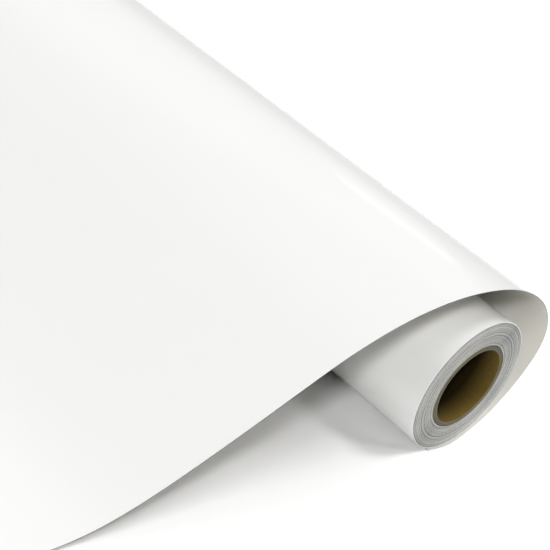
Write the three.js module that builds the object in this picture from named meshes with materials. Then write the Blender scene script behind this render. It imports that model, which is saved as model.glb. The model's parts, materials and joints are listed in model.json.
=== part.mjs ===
// Roll of sign vinyl: a paperboard core, the wound web on it, and the loose end of
// the web, which leaves the roll at the bottom, loops up round one side and over the
// top, runs down a long ramp and lies flat on the table.
//
// The web is two layers: a gloss film that faces out, and the paper liner behind it.
// Millimetres. +Z is up, +Y is along the roll's axis, the loose end runs out to -X.
// The origin is on the table, under the roll's axis, at the middle of the width.
import * as THREE from 'three';

// ---- web -----------------------------------------------------------------------
const ROLL_WIDTH = 305;        // 12 in slit width of the web
const FILM = 0.09;             // PVC film with its adhesive
const LINER = 0.13;            // coated paper liner
const BOND_LINE = 0.02;        // clearance kept between the film and the liner
const WOUND_LENGTH = 8660;     // web left on the roll

// ---- core ----------------------------------------------------------------------
const CORE_BORE = 38.1;        // 1 1/2 in inside diameter
const CORE_PROUD = 0;          // how far the core stands out of the web at each end: cut flush
const PLY = 0.57;              // one paperboard ply
const PLY_NAMES = ['core_inner_ply', 'core_second_ply', 'core_third_ply', 'core_outer_ply'];
const GLUE_LINE = 0.03;        // clearance between plies
const TAPE = 0.06;             // double sided tape that starts the web on the core
const TAPE_STEPS = 3;          // how many facets of the core the tape covers
const TAPE_CLEARANCE = 0.02;   // on each side of the tape
const TAPE_END_MARGIN = 6;     // the tape stops short of the core's ends
const ROUND_STEPS = 60;        // facets on every round piece

// ---- loose web -------------------------------------------------------------------
const ROLL_REST = 0.3;         // running clearance between the pack and the web under it
const STRIP_BACK = 6;          // flat strip under the roll, behind the axis
const STRIP_FRONT = 3;         // and in front of it, where the web starts to rise
const LOOP_SIDE_GAP = 12.2;    // from the pack to the loop, at its side
const LOOP_SIDE_RISE = 14;     // height of the loop's outermost point over the axis
const LOOP_TOP_GAP = 17.9;     // from the pack's top to the height of the loop
const LOOP_TOP_BACK = 21;      // the crest lies this far towards the ramp
const CREST_RUN = 48.4;        // from the crest to where the ramp's line meets its height
const CREST_BEND = 59.5;       // along the ramp, from there to the end of the bend
const RAMP_ANGLE = 33.2;       // degrees, the ramp's slope
const FLOOR_BEND = 46;         // from where the ramp's line meets the table to the touchdown
const FLAT_RUN = 20;           // flat web between the touchdown and the lead

// ---- lead -------------------------------------------------------------------------
const LEAD_GAP = 0.3;          // clearance between the run and the lead
const LEAD_LENGTH = 80;
const PEEL_LENGTH = 60;        // the film at the very end that can be peeled off its liner
const PEEL_GAP = 0.6;          // slit at the peel line, with the hinge at its middle
const BEND_STEPS = 22;         // stations along each bend of the web

// ---- sizes that follow from those above --------------------------------------------
const WEB = FILM + BOND_LINE + LINER;
const coreLength = ROLL_WIDTH + 2 * CORE_PROUD;
const coreRadius = CORE_BORE / 2 + PLY_NAMES.length * PLY + (PLY_NAMES.length - 1) * GLUE_LINE;
const packInner = coreRadius + TAPE + 2 * TAPE_CLEARANCE;
const packRadius = Math.sqrt(packInner ** 2 + WOUND_LENGTH * WEB / Math.PI);
const axisHeight = WEB + ROLL_REST + packRadius;

const paint = (color, roughness) => new THREE.MeshStandardMaterial({ color, roughness, metalness: 0 });
const filmPaint = paint(0xf4f4f2, 0.16);
const linerPaint = paint(0xb5b3ac, 0.75);
const packPaint = paint(0xb4b5b4, 0.6);
const tapePaint = paint(0xd8cfae, 0.6);
const plyPaint = [paint(0x8a7145, 0.85), paint(0x9c8257, 0.85), paint(0x8d744b, 0.85), paint(0x6f5a38, 0.85)];

// a flat outline in X and Z, pulled along Y and centred on y = 0
function pull(outline, hole, length) {
  const shape = new THREE.Shape(outline);
  if (hole) shape.holes.push(new THREE.Path(hole));
  const geometry = new THREE.ExtrudeGeometry(shape, { depth: length, steps: 1, bevelEnabled: false, curveSegments: 1 });
  geometry.translate(0, 0, -length / 2);
  geometry.rotateX(Math.PI / 2);
  return geometry;
}

function arc(radius, from, to) {
  const points = [];
  for (let i = from; i <= to; i++) {
    const a = i / ROUND_STEPS * 2 * Math.PI;
    points.push(new THREE.Vector2(radius * Math.cos(a), radius * Math.sin(a)));
  }
  return points;
}

function mesh(name, geometry, material, parent) {
  const m = new THREE.Mesh(geometry, material);
  m.name = name;
  parent.add(m);
  return m;
}

const tube = (inner, outer, length) =>
  pull(arc(outer, 0, ROUND_STEPS - 1), arc(inner, 0, ROUND_STEPS - 1).reverse(), length);

const vinylRoll = new THREE.Group();

// ---- the roll: turns about its own axis ---------------------------------------------
const roll = new THREE.Group();
roll.position.set(0, 0, axisHeight);
vinylRoll.add(roll);

PLY_NAMES.forEach((name, i) => {
  const inner = CORE_BORE / 2 + i * (PLY + GLUE_LINE);
  mesh(name, tube(inner, inner + PLY, coreLength), plyPaint[i], roll);
});

const tapeInner = coreRadius + TAPE_CLEARANCE;
const tapeFrom = Math.round(ROUND_STEPS / 8);
const tapeOutline = [
  ...arc(tapeInner + TAPE, tapeFrom, tapeFrom + TAPE_STEPS),
  ...arc(tapeInner, tapeFrom, tapeFrom + TAPE_STEPS).reverse(),
];
mesh('starter_tape', pull(tapeOutline, null, ROLL_WIDTH - 2 * TAPE_END_MARGIN), tapePaint, roll);

// the last turn is modelled as its two layers, and the turns inside it as one solid
const lastTurn = packRadius - FILM - BOND_LINE - LINER;
mesh('wound_pack', tube(packInner, lastTurn - BOND_LINE, ROLL_WIDTH), packPaint, roll);
mesh('liner_outer_turn', tube(lastTurn, lastTurn + LINER, ROLL_WIDTH), linerPaint, roll);
mesh('film_outer_turn', tube(packRadius - FILM, packRadius, ROLL_WIDTH), filmPaint, roll);

// ---- the loose web: the bond line between film and liner is drawn first ------------
const V = (x, z) => new THREE.Vector2(x, z);
const filmDown = FILM + BOND_LINE / 2;     // bond line height where the film lies on the table
const linerDown = LINER + BOND_LINE / 2;   // and where the liner does
const side = V(packRadius + LOOP_SIDE_GAP, axisHeight + LOOP_SIDE_RISE);
const crest = V(-LOOP_TOP_BACK, axisHeight + packRadius + LOOP_TOP_GAP);
const slope = RAMP_ANGLE * Math.PI / 180;
const down = V(-Math.cos(slope), -Math.sin(slope));
const crestCorner = V(crest.x - CREST_RUN, crest.y);
const rampTop = crestCorner.clone().addScaledVector(down, CREST_BEND);
const rampLine = (rampTop.y - linerDown) / Math.sin(slope);
const floorCorner = rampTop.clone().addScaledVector(down, rampLine);
const touchdown = V(floorCorner.x - FLOOR_BEND, linerDown);
const runEnd = touchdown.x - FLAT_RUN;

const bends = [
  // from the flat strip under the roll up to the loop's side
  [V(STRIP_FRONT, filmDown), V(STRIP_FRONT + 0.58 * (side.x - STRIP_FRONT), filmDown),
    V(side.x, side.y - 0.36 * side.y), side],
  // over to the crest
  [side, V(side.x, side.y + 0.49 * (crest.y - side.y)), V(crest.x + 0.64 * (side.x - crest.x), crest.y), crest],
  // down into the ramp
  [crest, crestCorner, rampTop.clone().addScaledVector(down, -20), rampTop],
  // along the ramp and out onto the table
  [rampTop, rampTop.clone().addScaledVector(down, 0.88 * rampLine),
    V(touchdown.x + 0.96 * FLOOR_BEND, linerDown), touchdown],
];
const stations = [{ p: V(-STRIP_BACK, filmDown), t: V(1, 0) }];
bends.forEach((b, n) => {
  const curve = new THREE.CubicBezierCurve(...b);
  for (let i = n ? 1 : 0; i <= BEND_STEPS; i++) {
    stations.push({ p: curve.getPoint(i / BEND_STEPS), t: curve.getTangent(i / BEND_STEPS) });
  }
});
stations.push({ p: V(runEnd, linerDown), t: V(-1, 0) });

// one layer, from one offset of the bond line to another, positive towards the liner's side
function layer(from, to) {
  const at = (s, offset) => V(s.p.x - s.t.y * offset, s.p.y + s.t.x * offset);
  return pull([...stations.map(s => at(s, from)), ...stations.map(s => at(s, to)).reverse()], null, ROLL_WIDTH);
}
const half = BOND_LINE / 2;
mesh('film_run', layer(-half - FILM, -half), filmPaint, vinylRoll);
mesh('liner_run', layer(half, half + LINER), linerPaint, vinylRoll);

// ---- the lead: slides out along -X as the roll pays out ------------------------------
function slab(name, x1, x0, z0, z1, material, parent) {
  const m = mesh(name, new THREE.BoxGeometry(x1 - x0, ROLL_WIDTH, z1 - z0), material, parent);
  m.position.set((x0 + x1) / 2, 0, (z0 + z1) / 2);
}
const lead = new THREE.Group();
lead.position.set(runEnd - LEAD_GAP, 0, 0);
vinylRoll.add(lead);
const peelLine = -(LEAD_LENGTH - PEEL_LENGTH);
slab('liner_lead', 0, -LEAD_LENGTH, 0, LINER, linerPaint, lead);
slab('film_lead', 0, peelLine + PEEL_GAP / 2, LINER + BOND_LINE, WEB, filmPaint, lead);
slab('film_end', peelLine - PEEL_GAP / 2, -LEAD_LENGTH, LINER + BOND_LINE, WEB, filmPaint, lead);

export default vinylRoll;
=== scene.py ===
"""Roll of sign vinyl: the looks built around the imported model.

Every length is in metres. +Y runs along the roll, +Z is up, and the loose end runs out to -X.
"""
import json
import math

import bpy
from mathutils import Matrix, Vector


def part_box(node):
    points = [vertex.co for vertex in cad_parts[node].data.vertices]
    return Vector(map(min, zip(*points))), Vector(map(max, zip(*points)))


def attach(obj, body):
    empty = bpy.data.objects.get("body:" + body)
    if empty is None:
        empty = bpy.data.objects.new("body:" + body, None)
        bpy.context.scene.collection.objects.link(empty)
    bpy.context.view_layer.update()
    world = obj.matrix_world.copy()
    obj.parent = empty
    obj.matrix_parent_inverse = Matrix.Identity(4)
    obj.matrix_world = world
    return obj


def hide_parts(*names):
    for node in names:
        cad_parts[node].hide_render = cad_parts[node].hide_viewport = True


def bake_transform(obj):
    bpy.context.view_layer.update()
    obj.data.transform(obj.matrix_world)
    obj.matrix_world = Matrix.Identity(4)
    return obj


bl_info = {
    "name": "Sign vinyl roll",
    "version": (1, 0, 0),
    "blender": (4, 5, 0),
    "location": "View3D > Sidebar > Vinyl roll",
    "description": "Builds a roll of sign vinyl with its loose end looped over it, and its studio",
    "category": "Object",
}

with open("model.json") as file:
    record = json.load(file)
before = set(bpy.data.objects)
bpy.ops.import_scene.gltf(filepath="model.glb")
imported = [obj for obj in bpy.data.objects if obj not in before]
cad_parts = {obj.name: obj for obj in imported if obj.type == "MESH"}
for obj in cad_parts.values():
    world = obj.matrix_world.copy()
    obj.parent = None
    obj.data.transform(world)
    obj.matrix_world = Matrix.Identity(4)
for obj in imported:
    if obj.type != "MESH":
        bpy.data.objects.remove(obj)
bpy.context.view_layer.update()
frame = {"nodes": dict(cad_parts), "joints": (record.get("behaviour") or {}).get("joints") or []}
MM = 0.001
UP = Vector((0, 0, 1))

# Edges bent more than this are shaded sharp.
SHARP = math.radians(40)
# How squarely a face of the wound web must look along the roll to be a cut edge.
END_FACING = 0.7
# Points of a ply closer than this are one.
SAME_PLACE = 0.002 * MM
# The loose web is true to its curve below the first height, and ripples fully this much higher.
FREE_FROM, FREE_OVER = 2 * MM, 25 * MM
# How many ripples there are across the web for one along it, over the same length.
RIPPLE_ACROSS = 0.8

# Spacing of the rings of tone on a cut end, and how far those tones differ.
RING = 0.8 * MM
WEB_CONTRAST, BOARD_CONTRAST = 0.42, 0.7
# Painted highlight: bright rims painted on the pack's end face, at its innermost and outermost
# turns; their widths inside and outside, and their colour.
HIGHLIGHT_INSIDE, HIGHLIGHT_OUTSIDE = 0.4 * MM, 0.5 * MM
PAINTED_HIGHLIGHT = (0.86, 0.86, 0.85, 1.0)
# Colour of the painted shade deep in the bore.
PAINTED_SHADE_COLOUR = (0, 0, 0, 1)
# Painted shade in the bore: its colour darkens towards black by this share over this depth in from
# each end.
BORE_PAINTED_SHADE, PAINTED_SHADE_DEPTH = 0.9, 11 * MM

# Shares of the way to a neighbouring point, for the handles of the loose web's path.
RISE_OUT, SIDE_DOWN, SIDE_UP, CREST_BACK, RAMP_DOWN, FLOOR_IN = 0.58, 0.36, 0.49, 0.64, 0.88, 0.96
RAMP_TOP_HANDLE = 20 * MM

# What the lamps look at.
LIT_POINT = Vector((-0.03, -0.05, 0.03))
# Sensor in millimetres, clipping distance in metres.
SENSOR_WIDTH, CAMERA_REACH = 36, 100
# Each sun: the name of its strength, then azimuth, elevation and spread in degrees.
SUNS = (
    ("front", -65, 27, 6), ("side", -105, 27, 15), ("top", 60, 70, 18), ("right", 97, 36, 18),
    ("fill", 30, 53, 16),
)
# Each area lamp: the name of its power, azimuth and elevation in degrees, width and height.
PANELS = (("back", 138, 30, 1.10, 0.70), ("glint", 119.5, 24, 0.20, 0.07))


def box_of(node):
    """A node's lowest and highest corner, as vectors."""
    low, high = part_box(node)
    return Vector(low), Vector(high)


ROLL_LOW, ROLL_HIGH = box_of("film_outer_turn")
PACK_RADIUS = (ROLL_HIGH.x - ROLL_LOW.x) / 2
AXIS_HEIGHT = (ROLL_HIGH.z + ROLL_LOW.z) / 2
ROLL_WIDTH = ROLL_HIGH.y - ROLL_LOW.y
PLIES = ("core_inner_ply", "core_second_ply", "core_third_ply", "core_outer_ply")


def inner_radius(node):
    """The radius of a tube's bore, read from its mesh."""
    vertices = frame["nodes"][node].data.vertices
    return min(math.hypot(v.co.x, v.co.z - AXIS_HEIGHT) for v in vertices)


# ---- sizes and colours that a user would change ------------------------------------


def size(name, description, default, low=0.0, high=1.0):
    return bpy.props.FloatProperty(
        name=name, description=description, default=default, min=low, max=high,
        precision=5, subtype="DISTANCE", unit="LENGTH")


def number(name, description, default):
    return bpy.props.FloatProperty(
        name=name, description=description, default=default, min=0, max=1000)


def count(name, description, default):
    return bpy.props.IntProperty(
        name=name, description=description, default=default, min=1, max=5000)


def angle(name, description, degrees):
    return bpy.props.FloatProperty(
        name=name, description=description, default=math.radians(degrees),
        min=-math.pi, max=math.pi, subtype="ANGLE", unit="ROTATION")


def colour(name, description, default):
    return bpy.props.FloatVectorProperty(
        name=name, description=description, default=default, min=0, max=1, size=3, subtype="COLOR")


def group(kind, name, description):
    return bpy.props.PointerProperty(type=kind, name=name, description=description)


class WebSizes(bpy.types.PropertyGroup):
    """The web: a film on its liner."""
    film: size("Film", "Thickness of the film with its adhesive", 0.09 * MM)
    liner: size("Liner", "Thickness of the paper liner", 0.13 * MM)
    bond: size("Bond line", "Gap kept between the film and the liner", 0.02 * MM)
    ripple: size("Ripple", "How far the loose web waves out of its true curve", 0.22 * MM)
    ripple_length: size("Ripple length", "Distance between the waves of the loose web", 90 * MM)
    across: count("Across", "Columns of faces across the loose web", 40)
    step: size("Step", "Length of the faces along the loose web", 1.6 * MM, 0.1 * MM)


class LoopSizes(bpy.types.PropertyGroup):
    """The path of the loose web."""
    strip_back: size("Strip back", "Flat web under the roll, behind its axis", 6 * MM)
    strip_front: size("Strip front", "Flat web under the roll, in front of its axis", 3 * MM)
    side_gap: size("Side gap", "From the wound web to the side of the loop", 12.2 * MM)
    side_rise: size("Side rise", "Height of the loop's outermost point over the axis", 14 * MM)
    top_gap: size("Top gap", "From the top of the wound web to the crest", 17.9 * MM)
    top_back: size("Crest offset", "How far the crest lies towards the ramp", 21 * MM)
    crest_run: size("Crest run", "From the crest to the ramp's line at the same height", 48.4 * MM)
    crest_bend: size("Crest bend", "Along the ramp, from there to the end of the bend", 59.5 * MM)
    ramp: angle("Ramp", "Slope of the ramp", 33.2)
    floor_bend: size("Floor bend", "From the ramp's line on the table to the touchdown", 46 * MM)
    peel: size("Peel length", "Film at the end that peels off its liner", 60 * MM)
    curl: size("Curl length", "How much of the peeled film bends when it is lifted", 26 * MM)


class WoundSizes(bpy.types.PropertyGroup):
    """The web on the core."""
    steps: count("Steps", "Facets in each turn of the web", 128)
    slack: size("Slack", "Gap between one turn and the next", 0.008 * MM)
    wander: size("Wander", "How far the turns wander sideways", 0.16 * MM)
    crown: size("Crown", "How far the middle turns stand out past the others", 0.45 * MM)
    wander_pitch: size("Wander pitch", "Depth of web that they wander over", 1.1 * MM, 0.00001)


class CoreSizes(bpy.types.PropertyGroup):
    """The spirally wound paperboard core."""
    lead: size("Lead", "How far a strip advances in one turn", 71 * MM, 0.001)
    seam: size("Seam", "Gap between one turn of a strip and the next", 0.3 * MM)
    steps: count("Steps", "Facets in each turn", 96)
    stagger: angle("Stagger", "Turn from one ply's seam to the next", 83)


class RollColours(bpy.types.PropertyGroup):
    """Base colours."""
    film: colour("Film", "Gloss face film", (0.80, 0.80, 0.79))
    liner: colour("Liner", "Back of the liner", (0.70, 0.69, 0.64))
    film_cut: colour("Film edge", "Cut edge of the film", (0.46, 0.46, 0.45))
    liner_cut: colour("Liner edge", "Cut edge of the liner", (0.26, 0.26, 0.245))
    tape: colour("Tape", "Starter tape", (0.68, 0.62, 0.43))
    bore: colour("Bore", "Paperboard seen in the bore", (0.150, 0.100, 0.024))
    ply: colour("Ply", "Paperboard inside the core", (0.12, 0.09, 0.05))
    skin: colour("Skin", "Paperboard under the web", (0.36, 0.34, 0.27))
    ply_cut: colour("Ply edge", "Cut ends of the plies", (0.095, 0.088, 0.058))
    floor: colour("Floor", "Studio floor", (0.90, 0.90, 0.90))


class StudioSettings(bpy.types.PropertyGroup):
    """Camera and light."""
    azimuth: angle("Azimuth", "Camera's direction round the object", -55.46)
    elevation: angle("Elevation", "Camera's height over the object", 23.85)
    roll: angle("Roll", "Turn of the picture about its middle", -24.48)
    aim: bpy.props.FloatVectorProperty(
        name="Aim", description="Point in the middle of the picture", size=3, precision=5,
        default=(-0.05123, -0.07156, 0.04243), subtype="XYZ", unit="LENGTH")
    distance: size("Distance", "From the aim to the camera", 0.6456, 0.01, 10)
    lens: number("Lens", "Focal length in millimetres, on a sensor 36 mm wide", 98.18)
    world: number("World", "Strength of the light all round", 0.03)
    backdrop: number("Backdrop", "Brightness of the surroundings that the camera sees", 0.95)
    gloss: number("Gloss", "Brightness of the surroundings that glossy surfaces mirror", 0.42)
    front: number("Front", "Low light in front, in watts per square metre", 1.72)
    side: number("Side", "Low light from the loose end, in watts per square metre", 0.62)
    top: number("Top", "Light from overhead, in watts per square metre", 1.56)
    right: number("Right", "Light from beside the loop, in watts per square metre", 1.40)
    fill: number("Fill", "Light from above and in front, in watts per square metre", 0.64)
    back: number("Back", "Power of the large lamp behind the roll, in watts", 0.6)
    glint: number("Glint", "Power of the strip that the crest mirrors, in watts", 0.045)
    reach: size("Reach", "Distance from the object to the lamps", 1.4, 0.1, 10)
    floor_size: size("Floor size", "Width of the floor", 12, 0.1, 100)


class VinylRollSettings(bpy.types.PropertyGroup):
    """All the sizes, colours and studio settings."""
    web: group(WebSizes, "Web", "Layers of the web")
    loop: group(LoopSizes, "Loop", "Path of the loose web")
    wound: group(WoundSizes, "Wound web", "Web on the core")
    core: group(CoreSizes, "Core", "Paperboard core")
    colours: group(RollColours, "Colours", "Base colours")
    studio: group(StudioSettings, "Studio", "Camera and light")


# ---- node trees written as expressions -----------------------------------------------


class Wire:
    """A socket that takes part in maths: each operator adds its Math node."""

    def __init__(self, graph, socket):
        self.graph, self.socket = graph, socket

    def maths(self, operation, *values):
        return self.graph.add("ShaderNodeMath", {"operation": operation}, dict(enumerate(values)))

    def __add__(self, other):
        return self.maths("ADD", self, other)

    def __radd__(self, other):
        return self.maths("ADD", other, self)

    def __sub__(self, other):
        return self.maths("SUBTRACT", self, other)

    def __rsub__(self, other):
        return self.maths("SUBTRACT", other, self)

    def __mul__(self, other):
        return self.maths("MULTIPLY", self, other)

    def __rmul__(self, other):
        return self.maths("MULTIPLY", other, self)

    def __truediv__(self, other):
        return self.maths("DIVIDE", self, other)

    def __pow__(self, other):
        return self.maths("POWER", self, other)

    def clamp(self, low=0.0, high=1.0):
        return self.maths("MAXIMUM", self.maths("MINIMUM", self, high), low)

    def cos(self):
        return self.maths("COSINE", self)

    def sin(self):
        return self.maths("SINE", self)

    def absolute(self):
        return self.maths("ABSOLUTE", self)

    def over(self, other):
        """1 where this is greater than the other, else 0."""
        return self.maths("GREATER_THAN", self, other)


class Graph:
    """A node tree. add() makes any node, from its type, its settings and its inputs."""

    def __init__(self, tree):
        self.tree = tree

    def add(self, kind, settings=None, inputs=None, out=0):
        node = self.tree.nodes.new(kind)
        for key, value in (settings or {}).items():
            setattr(node, key, value)
        for key, value in (inputs or {}).items():
            socket = node.inputs[key]
            if isinstance(value, Wire):
                self.tree.links.new(value.socket, socket)
            else:
                socket.default_value = value
        if out is None:
            return node
        return Wire(self, node.outputs[out])

    def out(self, wire, name):
        """Another output of the node that a wire comes from."""
        return Wire(self, wire.socket.node.outputs[name])

    def split(self, vector):
        """The x, y and z of a vector."""
        first = self.add("ShaderNodeSeparateXYZ", None, {0: vector})
        return first, self.out(first, "Y"), self.out(first, "Z")

    def join(self, x, y, z):
        """A vector from its x, y and z."""
        return self.add("ShaderNodeCombineXYZ", None, {0: x, 1: y, 2: z})

    def vector(self, operation, *values):
        """One Vector Math node."""
        return self.add("ShaderNodeVectorMath", {"operation": operation}, dict(enumerate(values)))

    def blend(self, factor, a, b):
        """Mixes two colours."""
        return self.add("ShaderNodeMix", {"data_type": "RGBA"}, {0: factor, 6: a, 7: b}, 2)

    def noise(self, place, scale, detail=2.0, roughness=0.5):
        """Noise round 0.5, with scale in waves per metre."""
        return self.add("ShaderNodeTexNoise", None, {
            "Vector": place, "Scale": scale, "Detail": detail, "Roughness": roughness})


def shade(rgb, times=1.0):
    """A colour, made lighter or darker, as the nodes take it."""
    return (rgb[0] * times, rgb[1] * times, rgb[2] * times, 1.0)


def surface(name, paint, roughness=0.5, coat=0.0, coat_roughness=0.1, sheen=0.0, specular=0.5):
    """A material. paint(graph) gives what varies: sockets of the shader by name."""
    material = bpy.data.materials.new(name)
    material.use_nodes = True
    tree = material.node_tree
    tree.nodes.clear()
    graph = Graph(tree)
    varied = paint(graph)
    shader = graph.add("ShaderNodeBsdfPrincipled", None, {
        "Roughness": roughness, "Coat Weight": coat, "Coat Roughness": coat_roughness,
        "Sheen Weight": sheen, "Specular IOR Level": specular, **varied})
    graph.add("ShaderNodeOutputMaterial", None, {"Surface": shader}, None)
    return material


def bump(graph, height, strength, distance, under=None):
    """A normal tilted by a height, over another normal where one is given."""
    inputs = {"Height": height, "Strength": strength, "Distance": distance}
    if under:
        inputs["Normal"] = under
    return graph.add("ShaderNodeBump", None, inputs)


def here(graph):
    """Object coordinates."""
    return graph.add("ShaderNodeTexCoord", None, None, "Object")


def film_finish(rgb):
    """Gloss film: very even, with the faint long waves of a calendered sheet."""
    def paint(g):
        place = here(g)
        cloud = g.noise(place, 9.0, 2.0)
        grain = g.noise(place, 1400.0, 2.0)
        drawn = g.noise(g.vector("MULTIPLY", place, (70.0, 4.0, 70.0)), 1.0, 3.0)
        peel = bump(g, grain, 0.05, 0.12 * MM)
        return {
            "Base Color": g.blend(cloud, shade(rgb, 0.975), shade(rgb)),
            "Roughness": 0.15 + 0.07 * drawn + 0.04 * grain,
            "Normal": bump(g, drawn, 0.10, 1.6 * MM, peel),
        }
    return surface("film_gloss", paint, coat=0.25, coat_roughness=0.06)


def liner_finish(rgb):
    """Coated paper liner: a matte warm grey with a soft mottle and fine fibres."""
    def paint(g):
        place = here(g)
        mottle = g.noise(place, 260.0, 4.0, 0.62)
        cloud = g.noise(place, 14.0, 2.0)
        fibre = g.noise(g.vector("MULTIPLY", place, (2600.0, 700.0, 2600.0)), 1.0, 2.0)
        warm = (rgb[0] * 1.02, rgb[1] * 1.01, rgb[2] * 0.98)
        tint = g.blend(cloud, shade(rgb, 0.96), shade(warm))
        return {
            "Base Color": g.blend((0.35 * mottle).clamp(), tint, shade(rgb, 0.86)),
            "Roughness": 0.50 + 0.16 * mottle,
            "Normal": bump(g, mottle * 0.6 + fibre * 0.4, 0.14, 0.2 * MM),
        }
    return surface("liner_paper", paint, sheen=0.05, specular=0.4)


def board_finish(name, rgb, painted_shade=0.0):
    """Paperboard: long fibres, darker specks, a rough tooth, and painted shade that can darken it
    towards black inwards from the ends.
    """
    def paint(g):
        place = here(g)
        fibres = g.noise(g.vector("MULTIPLY", place, (900.0, 160.0, 900.0)), 1.0, 4.0, 0.6)
        specks = g.noise(place, 1900.0, 1.0)
        cloud = g.noise(place, 60.0, 3.0)
        dark = ((specks - 0.60) * 9.0).clamp()
        # Painted shade: the colour goes darker towards black deeper in from the ends.
        shade_mask = ((ROLL_WIDTH / 2 - g.split(place)[1].absolute()) / PAINTED_SHADE_DEPTH).clamp()
        body = g.blend(fibres, shade(rgb, 0.72), shade(rgb, 1.28))
        body = g.blend(cloud * 0.5, body, shade((rgb[0], rgb[1] * 0.98, rgb[2] * 0.84)))
        body = g.blend(dark * 0.45, body, shade(rgb, 0.45))
        return {
            "Base Color": g.blend(shade_mask * painted_shade, body, PAINTED_SHADE_COLOUR),
            "Roughness": 0.72 + 0.2 * fibres,
            "Normal": bump(g, fibres * 0.7 + specks * 0.3, 0.35, 0.3 * MM),
        }
    return surface(name, paint, specular=0.05)


def cut_finish(name, rgb, contrast, highlight_radii=None):
    """Cut edges wound round the axis: fine rings of uneven tone, with a painted highlight outside
    two radii.
    """
    def paint(g):
        place = here(g)
        x, _, z = g.split(place)
        height = z - AXIS_HEIGHT
        radius = (x * x + height * height) ** 0.5
        rings = g.add("ShaderNodeTexNoise", {"noise_dimensions": "1D"}, {
            "W": radius / RING, "Scale": 1.0, "Detail": 2.0, "Roughness": 0.6})
        patch = g.noise(place, 90.0, 2.0)
        tone = ((rings - 0.5) * 3.4 + 0.5 + (patch - 0.5) * 0.6).clamp()
        body = g.blend(tone, shade(rgb, 1.0 - contrast), shade(rgb, 1.0 + contrast))
        # Painted highlight: the end face is painted bright inside the first radius and outside the
        # second.
        if highlight_radii:
            edge = radius.over(highlight_radii[1]) + (highlight_radii[0] - radius).over(0.0)
            body = g.blend(edge, body, PAINTED_HIGHLIGHT)
        return {
            "Base Color": body,
            "Roughness": 0.55 + 0.25 * rings,
            "Normal": bump(g, rings, 0.25, 0.2 * MM),
        }
    return surface(name, paint, specular=0.35)


def tape_finish(rgb):
    """Double sided tape: a slightly clouded film of adhesive."""
    def paint(g):
        place = here(g)
        cloud = g.noise(place, 400.0, 3.0)
        return {
            "Base Color": g.blend(cloud, shade(rgb, 0.9), shade(rgb)),
            "Roughness": 0.35 + 0.2 * cloud,
            "Normal": bump(g, cloud, 0.1, 0.2 * MM),
        }
    return surface("starter_adhesive", paint)


def sheet_edge_finish(rgb):
    """The slit edge of the loose sheets, a little dusty."""
    def paint(g):
        dust = g.noise(here(g), 500.0, 2.0)
        return {
            "Base Color": g.blend(dust, shade(rgb, 0.45), shade(rgb, 0.7)),
            "Roughness": 0.6 + 0.2 * dust,
        }
    return surface("slit_edge", paint, specular=0.3)


def floor_finish(rgb):
    """Matte white paper, with a little tooth."""
    def paint(g):
        tooth = g.noise(here(g), 300.0, 2.0)
        return {
            "Base Color": g.blend(tooth, shade(rgb, 0.995), shade(rgb)),
            "Roughness": 0.85 + 0.1 * tooth,
        }
    return surface("studio_floor", paint, specular=0.2)


# ---- geometry nodes -------------------------------------------------------------------


def grower(name, sockets):
    """A geometry tree with named inputs. Gives the graph, the inputs by name and the last steps."""
    tree = bpy.data.node_groups.new(name, "GeometryNodeTree")
    kinds = {"geometry": "NodeSocketGeometry", "float": "NodeSocketFloat", "int": "NodeSocketInt",
             "material": "NodeSocketMaterial"}
    for label, kind in sockets:
        tree.interface.new_socket(name=label, in_out="INPUT", socket_type=kinds[kind])
    tree.interface.new_socket(name="Geometry", in_out="OUTPUT", socket_type=kinds["geometry"])
    graph = Graph(tree)
    source = graph.add("NodeGroupInput", None, None, None)
    given = {label: Wire(graph, source.outputs[label]) for label, kind in sockets}

    def finish(mesh, cut=None):
        edge = graph.add("GeometryNodeInputMeshEdgeAngle", None, None, "Unsigned Angle")
        soft = graph.add("FunctionNodeCompare", {"operation": "LESS_THAN"}, {0: edge, 1: SHARP})
        mesh = graph.add("GeometryNodeSetShadeSmooth", None, {"Geometry": mesh})
        mesh = graph.add("GeometryNodeSetShadeSmooth", {"domain": "EDGE"}, {
            "Geometry": mesh, "Shade Smooth": soft})
        mesh = graph.add("GeometryNodeRealizeInstances", None, {"Geometry": mesh})
        mesh = graph.add("GeometryNodeSetMaterial", None, {
            "Geometry": mesh, "Material": given["Material"]})
        if cut:
            mesh = graph.add("GeometryNodeSetMaterial", None, {
                "Geometry": mesh, "Selection": cut, "Material": given["Cut"]})
        graph.add("NodeGroupOutput", None, {"Geometry": mesh}, None)
        return tree
    return graph, given, finish


def grow(name, tree, values, material, cut, source=None, wall=0.0):
    """Runs a geometry tree and keeps its result as a plain mesh, with a wall where one is asked."""
    data = source or bpy.data.meshes.new(name + "_seed")
    seed = bpy.data.objects.new(name + "_seed", data)
    bpy.context.scene.collection.objects.link(seed)
    modifier = seed.modifiers.new("grow", "NODES")
    modifier.node_group = tree
    sockets = tree.interface.items_tree
    ids = {item.name: item.identifier for item in sockets if item.in_out == "INPUT"}
    for label, value in {**values, "Material": material, "Cut": cut}.items():
        if label in ids:
            modifier[ids[label]] = value
    mesh = plain_mesh(seed)
    bpy.data.objects.remove(seed)
    piece = bpy.data.objects.new(name, mesh)
    bpy.context.scene.collection.objects.link(piece)
    if wall:
        mesh.materials.append(cut)
        solid = piece.modifiers.new("wall", "SOLIDIFY")
        solid.thickness, solid.offset, solid.use_even_offset = wall, 0, True
        solid.material_offset_rim = 1
        piece.data = plain_mesh(piece)
        piece.modifiers.clear()
        piece.data.set_sharp_from_angle(angle=SHARP)
    piece.data.name = name
    return piece


def plain_mesh(obj):
    """An object's mesh as its modifiers leave it."""
    bpy.context.view_layer.update()
    graph = bpy.context.evaluated_depsgraph_get()
    mesh = bpy.data.meshes.new_from_object(obj.evaluated_get(graph), depsgraph=graph)
    if not len(mesh.polygons):
        raise RuntimeError(obj.name + " came out empty")
    return mesh


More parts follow.
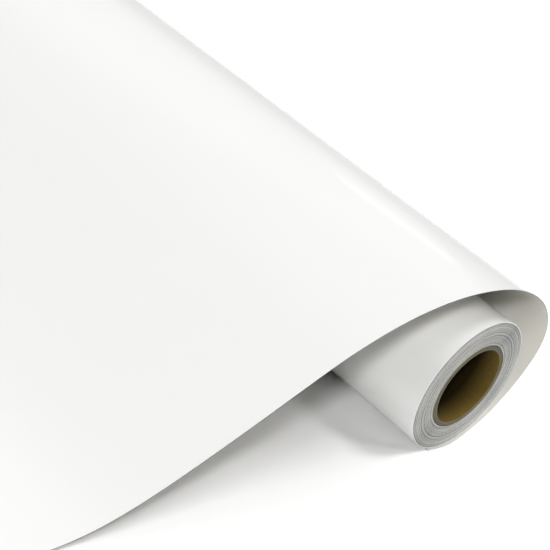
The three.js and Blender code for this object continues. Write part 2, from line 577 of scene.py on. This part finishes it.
def sheet_tree():
    """A sheet that follows a path and is pulled across by its width."""
    g, given, finish = grower("pulled_sheet", [
        ("Geometry", "geometry"), ("From", "float"), ("To", "float"), ("Width", "float"),
        ("Along", "int"), ("Across", "int"), ("Offset", "float"), ("Ripple", "float"),
        ("Ripple Length", "float"), ("Material", "material")])
    grid = g.add("GeometryNodeMeshGrid", None, {
        "Size X": 1.0, "Size Y": 1.0, "Vertices X": given["Along"], "Vertices Y": given["Across"]})
    u, v, _ = g.split(g.add("GeometryNodeInputPosition"))
    along = given["From"] + (u + 0.5) * (given["To"] - given["From"])
    place = g.add("GeometryNodeSampleCurve", {"mode": "LENGTH"}, {
        "Curves": given["Geometry"], "Length": along}, "Position")
    tangent = g.out(place, "Tangent")
    inward = g.vector("NORMALIZE", g.vector("CROSS_PRODUCT", tangent, (0.0, 1.0, 0.0)))
    across = v * given["Width"]
    wave = g.add("ShaderNodeTexNoise", {"noise_dimensions": "2D"}, {
        "Vector": g.join(
            along / given["Ripple Length"], across / given["Ripple Length"] * RIPPLE_ACROSS, 0.0),
        "Scale": 1.0, "Detail": 1.0})
    height = g.split(place)[2]
    free = ((height - FREE_FROM) * (1 / FREE_OVER)).clamp()
    shift = given["Offset"] + (wave - 0.5) * 2.0 * given["Ripple"] * free * free
    aside = g.add("ShaderNodeVectorMath", {"operation": "SCALE"}, {0: inward, "Scale": shift})
    moved = g.vector("ADD", g.vector("ADD", place, g.join(0.0, across, 0.0)), aside)
    mesh = g.add("GeometryNodeSetPosition", None, {"Geometry": grid, "Position": moved})
    return finish(mesh)


def ribbon_tree():
    """A ribbon wound into a flat spiral, turn on turn, whose turns wander sideways a little."""
    g, given, finish = grower("wound_ribbon", [
        ("Geometry", "geometry"), ("Turns", "float"), ("Inner Radius", "float"),
        ("Outer Radius", "float"), ("Steps", "int"), ("Thickness", "float"), ("Width", "float"),
        ("Wander", "float"), ("Wander Pitch", "float"), ("Crown", "float"),
        ("Axis Height", "float"), ("Material", "material"), ("Cut", "material")])
    spiral = g.add("GeometryNodeCurveSpiral", None, {
        "Resolution": given["Steps"], "Rotations": given["Turns"], "Height": 0.0,
        "Start Radius": given["Inner Radius"], "End Radius": given["Outer Radius"]})
    spiral = g.add("GeometryNodeSetCurveNormal", {"mode": "Z_UP"}, {"Curve": spiral})
    section = g.add("GeometryNodeCurvePrimitiveQuadrilateral", {"mode": "RECTANGLE"}, {
        "Width": given["Thickness"], "Height": given["Width"]})
    mesh = g.add("GeometryNodeCurveToMesh", None, {
        "Curve": spiral, "Profile Curve": section, "Fill Caps": True})
    place = g.add("GeometryNodeInputPosition")
    x, y, _ = g.split(place)
    radius = (x * x + y * y) ** 0.5
    slow = g.add("ShaderNodeTexNoise", {"noise_dimensions": "1D"}, {
        "W": radius / given["Wander Pitch"], "Scale": 1.0, "Detail": 3.0})
    depth = given["Outer Radius"] - given["Inner Radius"]
    middle = (radius - given["Inner Radius"]) / depth * 2.0 - 1.0
    lift = (slow - 0.5) * 2.0 * given["Wander"] - given["Crown"] * middle * middle
    mesh = g.add("GeometryNodeSetPosition", None, {
        "Geometry": mesh, "Offset": g.join(0.0, 0.0, lift)})
    mesh = g.add("GeometryNodeTransform", None, {
        "Geometry": mesh, "Rotation": (math.pi / 2, math.pi / 2, 0.0),
        "Translation": g.join(0.0, 0.0, given["Axis Height"])})
    facing = g.split(g.add("GeometryNodeInputNormal"))[1]
    return finish(mesh, cut=facing.absolute().over(END_FACING))


def ply_tree():
    """A strip wound round and along a tube, cut square at both ends, with a butt seam."""
    g, given, finish = grower("wound_ply", [
        ("Geometry", "geometry"), ("Radius", "float"), ("Length", "float"), ("Lead", "float"),
        ("Seam", "float"), ("Phase", "float"), ("Stations", "int"), ("Axis Height", "float"),
        ("Material", "material")])
    grid = g.add("GeometryNodeMeshGrid", None, {
        "Size X": 1.0, "Size Y": 1.0, "Vertices X": given["Stations"], "Vertices Y": 5})
    u, v, _ = g.split(g.add("GeometryNodeInputPosition"))
    travel = (u + 0.5) * (given["Length"] + given["Lead"])
    turn = travel / given["Lead"] * (2 * math.pi) + given["Phase"]
    half = given["Length"] * 0.5
    axial = travel - half - given["Lead"] + (v + 0.5) * (given["Lead"] - given["Seam"])
    axial = axial.clamp(0.0 - half, half)
    height = turn.sin() * given["Radius"] + given["Axis Height"]
    place = g.join(turn.cos() * given["Radius"], axial, height)
    mesh = g.add("GeometryNodeSetPosition", None, {"Geometry": grid, "Position": place})
    mesh = g.add("GeometryNodeMergeByDistance", None, {"Geometry": mesh, "Distance": SAME_PLACE})
    return finish(mesh)


# ---- the loose web's path ---------------------------------------------------------------


def loose_path(web, loop):
    """The bond line of the loose web as a curve, from under the roll to the end of the lead."""
    film_down = web.film + web.bond / 2
    liner_down = web.liner + web.bond / 2
    side = (PACK_RADIUS + loop.side_gap, AXIS_HEIGHT + loop.side_rise)
    crest = (-loop.top_back, AXIS_HEIGHT + PACK_RADIUS + loop.top_gap)
    down = (-math.cos(loop.ramp), -math.sin(loop.ramp))

    def along(point, distance):
        return (point[0] + down[0] * distance, point[1] + down[1] * distance)

    corner = (crest[0] - loop.crest_run, crest[1])
    ramp_top = along(corner, loop.crest_bend)
    ramp_line = (ramp_top[1] - liner_down) / math.sin(loop.ramp)
    touchdown = (along(ramp_top, ramp_line)[0] - loop.floor_bend, liner_down)
    start = (-loop.strip_back, film_down)
    rise = (loop.strip_front, film_down)
    end = (box_of("liner_lead")[0].x, liner_down)
    # point, handle before, handle after
    points = [
        (start, start, rise),
        (rise, start, (rise[0] + RISE_OUT * (side[0] - rise[0]), film_down)),
        (side, (side[0], side[1] - SIDE_DOWN * side[1]),
         (side[0], side[1] + SIDE_UP * (crest[1] - side[1]))),
        (crest, (crest[0] + CREST_BACK * (side[0] - crest[0]), crest[1]), corner),
        (ramp_top, along(ramp_top, -RAMP_TOP_HANDLE), along(ramp_top, RAMP_DOWN * ramp_line)),
        (touchdown, (touchdown[0] + FLOOR_IN * loop.floor_bend, liner_down), end),
        (end, touchdown, end),
    ]
    curve = bpy.data.curves.new("loose_path", "CURVE")
    curve.dimensions = "3D"
    curve.resolution_u = 64
    spline = curve.splines.new("BEZIER")
    spline.bezier_points.add(len(points) - 1)
    for target, (place, before, after) in zip(spline.bezier_points, points):
        target.handle_left_type = target.handle_right_type = "FREE"
        target.co = (place[0], 0, place[1])
        target.handle_left = (before[0], 0, before[1])
        target.handle_right = (after[0], 0, after[1])
    return curve, spline.calc_length(resolution=256), touchdown


# ---- operators ---------------------------------------------------------------------------


class VINYL_OT_core(bpy.types.Operator):
    """Wind the four paperboard plies of the core"""
    bl_idname = "vinyl_roll.core"
    bl_label = "Core plies"

    def execute(self, context):
        sizes, colours = context.scene.vinyl_roll.core, context.scene.vinyl_roll.colours
        tree = ply_tree()
        shades = (colours.bore, colours.ply, colours.ply, colours.skin)
        cut = cut_finish("board_cut", colours.ply_cut, BOARD_CONTRAST)
        for i, node in enumerate(PLIES):
            low, high = box_of(node)
            outer = (high.x - low.x) / 2
            wall = outer - inner_radius(node)
            middle = outer - wall / 2
            length = high.y - low.y
            # Only the innermost ply, which lines the bore, gets the painted shade.
            finish = board_finish("board_ply_%d" % (i + 1), shades[i], painted_shade=0.0 if i else BORE_PAINTED_SHADE)
            stations = round((length + sizes.lead) / sizes.lead * sizes.steps) + 1
            piece = grow("board_ply_%d" % (i + 1), tree, {
                "Radius": middle, "Length": length, "Lead": sizes.lead, "Seam": sizes.seam,
                "Phase": sizes.stagger * i, "Stations": stations, "Axis Height": AXIS_HEIGHT,
            }, finish, cut, wall=wall)
            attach(piece, "roll")
            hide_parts(node)
        return {"FINISHED"}


class VINYL_OT_wound(bpy.types.Operator):
    """Wind the film and the liner round the core"""
    bl_idname = "vinyl_roll.wound"
    bl_label = "Wound web"

    def execute(self, context):
        settings = context.scene.vinyl_roll
        web, wound = settings.web, settings.wound
        pitch = web.film + web.bond + web.liner
        inner = inner_radius("wound_pack")
        turns = (PACK_RADIUS - inner) / pitch
        tree = ribbon_tree()
        colours = settings.colours
        # Radii of the painted highlight on the innermost and outermost rims of the end face.
        highlight_radii = (inner + HIGHLIGHT_INSIDE, PACK_RADIUS - HIGHLIGHT_OUTSIDE)
        # name, thickness, depth of its middle in the web, face, edge, slot, nodes it replaces
        layers = (
            ("wound_film", web.film, web.film / 2, film_finish(colours.film),
             cut_finish("film_cut", colours.film_cut, WEB_CONTRAST, highlight_radii),
             "film", ["film_outer_turn"]),
            ("wound_liner", web.liner, web.film + web.bond + web.liner / 2,
             liner_finish(colours.liner),
             cut_finish("liner_cut", colours.liner_cut, WEB_CONTRAST, highlight_radii),
             "liner", ["liner_outer_turn", "wound_pack"]),
        )
        for name, thickness, depth, finish, cut, slot, nodes in layers:
            piece = grow(name, tree, {
                "Turns": turns, "Steps": wound.steps,
                "Width": ROLL_WIDTH, "Axis Height": AXIS_HEIGHT,
                "Inner Radius": inner + pitch - depth, "Outer Radius": PACK_RADIUS - depth,
                "Thickness": thickness - wound.slack, "Crown": wound.crown,
                "Wander": wound.wander, "Wander Pitch": wound.wander_pitch,
            }, finish, cut)
            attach(piece, "roll")
            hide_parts(*nodes)
        return {"FINISHED"}


class VINYL_OT_loose(bpy.types.Operator):
    """Lay the loose film and liner over the roll and along the table"""
    bl_idname = "vinyl_roll.loose"
    bl_label = "Loose web"

    def execute(self, context):
        settings = context.scene.vinyl_roll
        web, loop = settings.web, settings.loop
        path, length, touchdown = loose_path(web, loop)
        film, liner = bpy.data.materials["film_gloss"], bpy.data.materials["liner_paper"]
        cut = sheet_edge_finish(settings.colours.liner_cut)
        tree = sheet_tree()
        film_side, liner_side = -(web.bond + web.film) / 2, (web.bond + web.liner) / 2
        peel_line = length - loop.peel
        # name, face, from, to, side of the bond line, thickness, slot, nodes it replaces
        layers = (
            ("loose_film", film, 0.0, peel_line, film_side, web.film, "film",
             ["film_run", "film_lead"]),
            ("peel_film", film, peel_line, length, film_side, web.film, "film", ["film_end"]),
            ("loose_liner", liner, 0.0, length, liner_side, web.liner, "liner",
             ["liner_run", "liner_lead"]),
        )
        for name, finish, start, end, offset, wall, slot, nodes in layers:
            piece = grow(name, tree, {
                "From": start, "To": end, "Width": ROLL_WIDTH, "Offset": offset,
                "Along": round((end - start) / web.step) + 1, "Across": web.across + 1,
                "Ripple": web.ripple, "Ripple Length": web.ripple_length,
            }, finish, cut, source=path, wall=wall)
            if name == "peel_film":
                hinge = peel_hinge()
                hinge[0] - loop.curl
                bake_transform(piece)
            else:
                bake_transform(piece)
            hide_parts(*nodes)
            end - start
            [] if name == "loose_liner" else ["loose_liner"]
        return {"FINISHED"}


def peel_hinge():
    """The peel line, from the joint that lifts the film."""
    joint = next(j for j in frame["joints"] if j["name"] == "film_peel")
    return tuple(joint["pos_m"])


class VINYL_OT_tape(bpy.types.Operator):
    """Finish the tape that starts the web on the core"""
    bl_idname = "vinyl_roll.tape"
    bl_label = "Starter tape"

    def execute(self, context):
        mesh = frame["nodes"]["starter_tape"].data
        mesh.materials.clear()
        mesh.materials.append(tape_finish(context.scene.vinyl_roll.colours.tape))
        return {"FINISHED"}


def direction(azimuth, elevation):
    """Unit vector towards a place round the object: azimuth 0 is in front, 90 degrees at +X."""
    level = math.cos(elevation)
    return Vector((math.sin(azimuth) * level, -math.cos(azimuth) * level, math.sin(elevation)))


class VINYL_OT_studio(bpy.types.Operator):
    """Set up the floor, the light and the camera"""
    bl_idname = "vinyl_roll.studio"
    bl_label = "Studio"

    def execute(self, context):
        scene, studio = context.scene, context.scene.vinyl_roll.studio
        self.floor(scene, studio)
        self.light(scene, studio)
        self.camera(scene, studio)
        scene.view_settings.view_transform = "Standard"
        return {"FINISHED"}

    @staticmethod
    def floor(scene, studio):
        half = studio.floor_size / 2
        mesh = bpy.data.meshes.new("floor")
        corners = [(-half, -half, 0), (half, -half, 0), (half, half, 0), (-half, half, 0)]
        mesh.from_pydata(corners, [], [(0, 1, 2, 3)])
        mesh.materials.append(floor_finish(scene.vinyl_roll.colours.floor))
        floor = bpy.data.objects.new("floor", mesh)
        scene.collection.objects.link(floor)

    @staticmethod
    def light(scene, studio):
        world = bpy.data.worlds.new("studio")
        world.use_nodes = True
        world.node_tree.nodes.clear()
        g = Graph(world.node_tree)
        seen = g.add("ShaderNodeLightPath", None, None, "Is Camera Ray")
        mirrored = g.out(seen, "Is Glossy Ray")
        strength = (studio.world + seen * (studio.backdrop - studio.world)
                    + mirrored * (studio.gloss - studio.world))
        glow = g.add("ShaderNodeBackground", None, {"Color": (1, 1, 1, 1), "Strength": strength})
        g.add("ShaderNodeOutputWorld", None, {"Surface": glow}, None)
        scene.world = world
        for name, azimuth, elevation, spread in SUNS:
            data = bpy.data.lights.new("sun", "SUN")
            data.energy, data.angle = getattr(studio, name), math.radians(spread)
            VINYL_OT_studio.hang(scene, studio, data, azimuth, elevation)
        for name, azimuth, elevation, wide, tall in PANELS:
            data = bpy.data.lights.new("lamp", "AREA")
            data.energy, data.shape = getattr(studio, name), "RECTANGLE"
            data.size, data.size_y = wide, tall
            VINYL_OT_studio.hang(scene, studio, data, azimuth, elevation)

    @staticmethod
    def hang(scene, studio, data, azimuth, elevation):
        """Puts a light round the object, looking at it and out of the camera's sight."""
        back = direction(math.radians(azimuth), math.radians(elevation))
        lamp = bpy.data.objects.new(data.name, data)
        lamp.location = LIT_POINT + back * studio.reach
        lamp.rotation_euler = back.to_track_quat("Z", "Y").to_euler()
        lamp.visible_camera = False
        scene.collection.objects.link(lamp)

    @staticmethod
    def camera(scene, studio):
        data = bpy.data.cameras.new("camera")
        data.lens, data.sensor_width, data.clip_end = studio.lens, SENSOR_WIDTH, CAMERA_REACH
        back = direction(studio.azimuth, studio.elevation)
        level = UP.cross(back).normalized()
        upright = back.cross(level)
        right = level * math.cos(studio.roll) - upright * math.sin(studio.roll)
        up = upright * math.cos(studio.roll) + level * math.sin(studio.roll)
        place = Vector(studio.aim) + back * studio.distance
        camera = bpy.data.objects.new("camera", data)
        camera.matrix_world = Matrix((
            (right.x, up.x, back.x, place.x), (right.y, up.y, back.y, place.y),
            (right.z, up.z, back.z, place.z), (0, 0, 0, 1)))
        scene.collection.objects.link(camera)
        scene.camera = camera


STEPS = (VINYL_OT_studio, VINYL_OT_core, VINYL_OT_tape, VINYL_OT_wound, VINYL_OT_loose)


class VINYL_PT_panel(bpy.types.Panel):
    """Lists the steps that build the roll"""
    bl_idname = "VINYL_PT_panel"
    bl_label = "Vinyl roll"
    bl_space_type = "VIEW_3D"
    bl_region_type = "UI"
    bl_category = "Vinyl roll"

    def draw(self, context):
        for step in STEPS:
            self.layout.operator(step.bl_idname)


CLASSES = (WebSizes, LoopSizes, WoundSizes, CoreSizes, RollColours, StudioSettings,
           VinylRollSettings, *STEPS, VINYL_PT_panel)


def register():
    for item in CLASSES:
        bpy.utils.register_class(item)
    bpy.types.Scene.vinyl_roll = group(
        VinylRollSettings, "Vinyl roll", "Sizes, colours and studio of the roll")


def unregister():
    del bpy.types.Scene.vinyl_roll
    for item in reversed(CLASSES):
        bpy.utils.unregister_class(item)


def main():
    register()
    bpy.ops.vinyl_roll.studio()
    bpy.ops.vinyl_roll.core()
    bpy.ops.vinyl_roll.tape()
    bpy.ops.vinyl_roll.wound()
    bpy.ops.vinyl_roll.loose()


if __name__ == "__main__":
    main()
